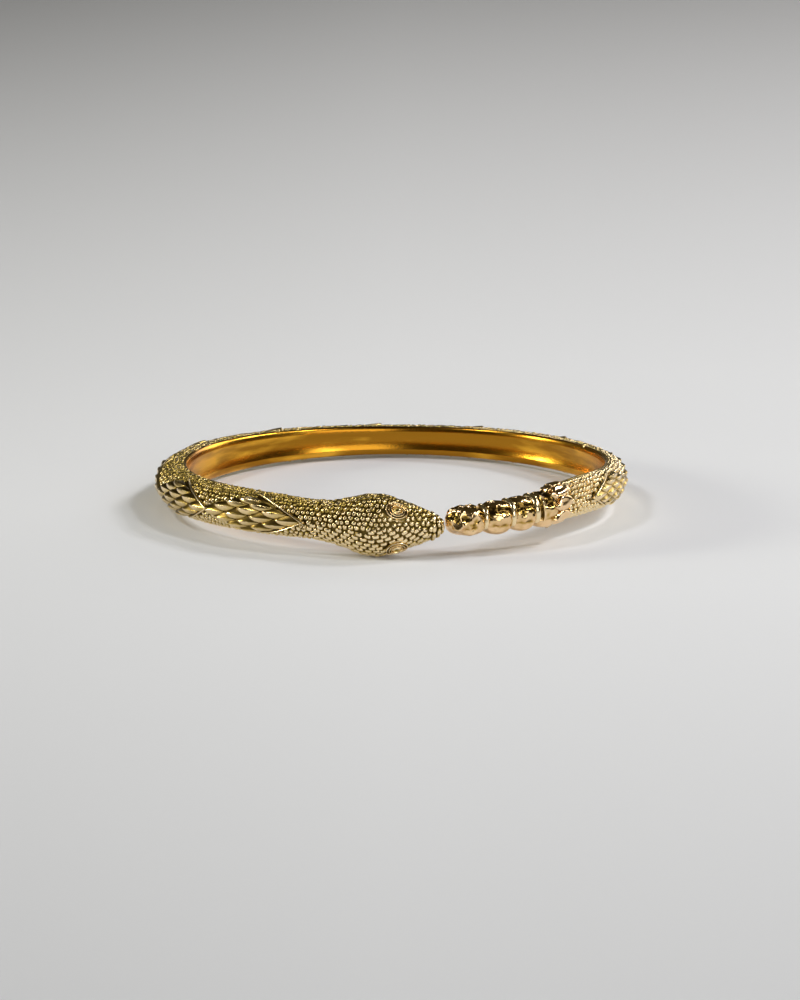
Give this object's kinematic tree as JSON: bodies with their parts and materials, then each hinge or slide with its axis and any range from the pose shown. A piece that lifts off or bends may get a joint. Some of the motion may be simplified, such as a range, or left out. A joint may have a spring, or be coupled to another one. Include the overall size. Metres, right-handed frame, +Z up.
{
  "type": "snake cuff bracelet",
  "caption": "Open cuff bracelet cast as a rattlesnake lying round the wrist, in antiqued gold-coloured metal with a smooth inner face.",
  "frame": {"origin": "centre of the cuff's box at the level of the surface that it lies on", "axes": "+Z up, with the cuff lying on its side and leaning 2.2 degrees on its jaw; the head and the rattle's tip meet at the front, towards -Y, and the head points to +X"},
  "size_m": [0.0684, 0.0692, 0.0086],
  "materials": {
    "antiqued_gold": "cast, darkened in the recesses and worn bright on the high points; the inner face is polished"
  },
  "bodies": {
    "root": {"cuff": "antiqued_gold"}
  },
  "joints": []
}
